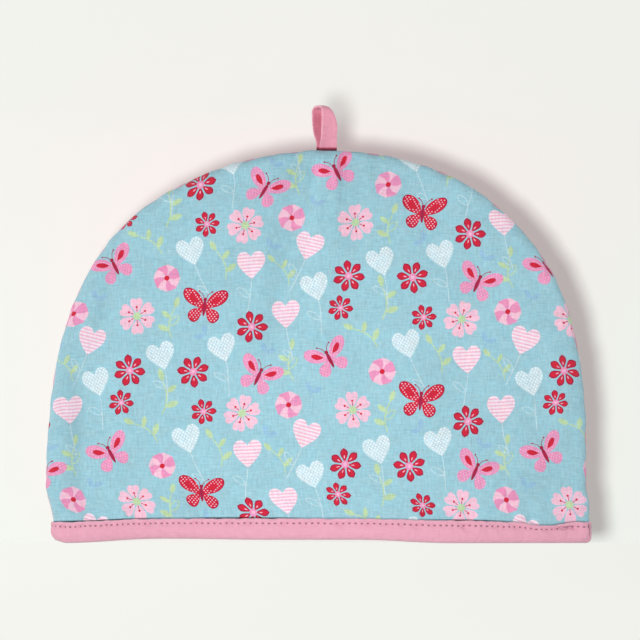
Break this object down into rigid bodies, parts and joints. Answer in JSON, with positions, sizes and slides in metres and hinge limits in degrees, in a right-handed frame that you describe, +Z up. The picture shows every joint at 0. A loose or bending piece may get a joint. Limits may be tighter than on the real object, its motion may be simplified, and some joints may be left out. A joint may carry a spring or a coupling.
{
  "type": "tea cosy",
  "caption": "Padded dome tea cosy in printed cotton with a plain bound hem and a hanging loop, hollow below to cover a teapot.",
  "frame": {"origin": "middle of the hem, on the surface that the cosy stands on", "axes": "+Z up, -Y the way the printed front faces, +X to the right seen from the front"},
  "size_m": [0.3439, 0.1294, 0.2755],
  "materials": {
    "printed_cotton": "plain weave cotton with a small flower print on aqua, padded",
    "plain_cotton": "plain weave cotton, padded",
    "binding_cotton": "plain weave cotton, topstitched",
    "loop_cotton": "plain weave cotton strap, folded"
  },
  "bodies": {
    "root": {"front_panel": "printed_cotton", "back_panel": "plain_cotton", "hem_binding": "binding_cotton", "hanging_loop": "loop_cotton"}
  },
  "joints": []
}
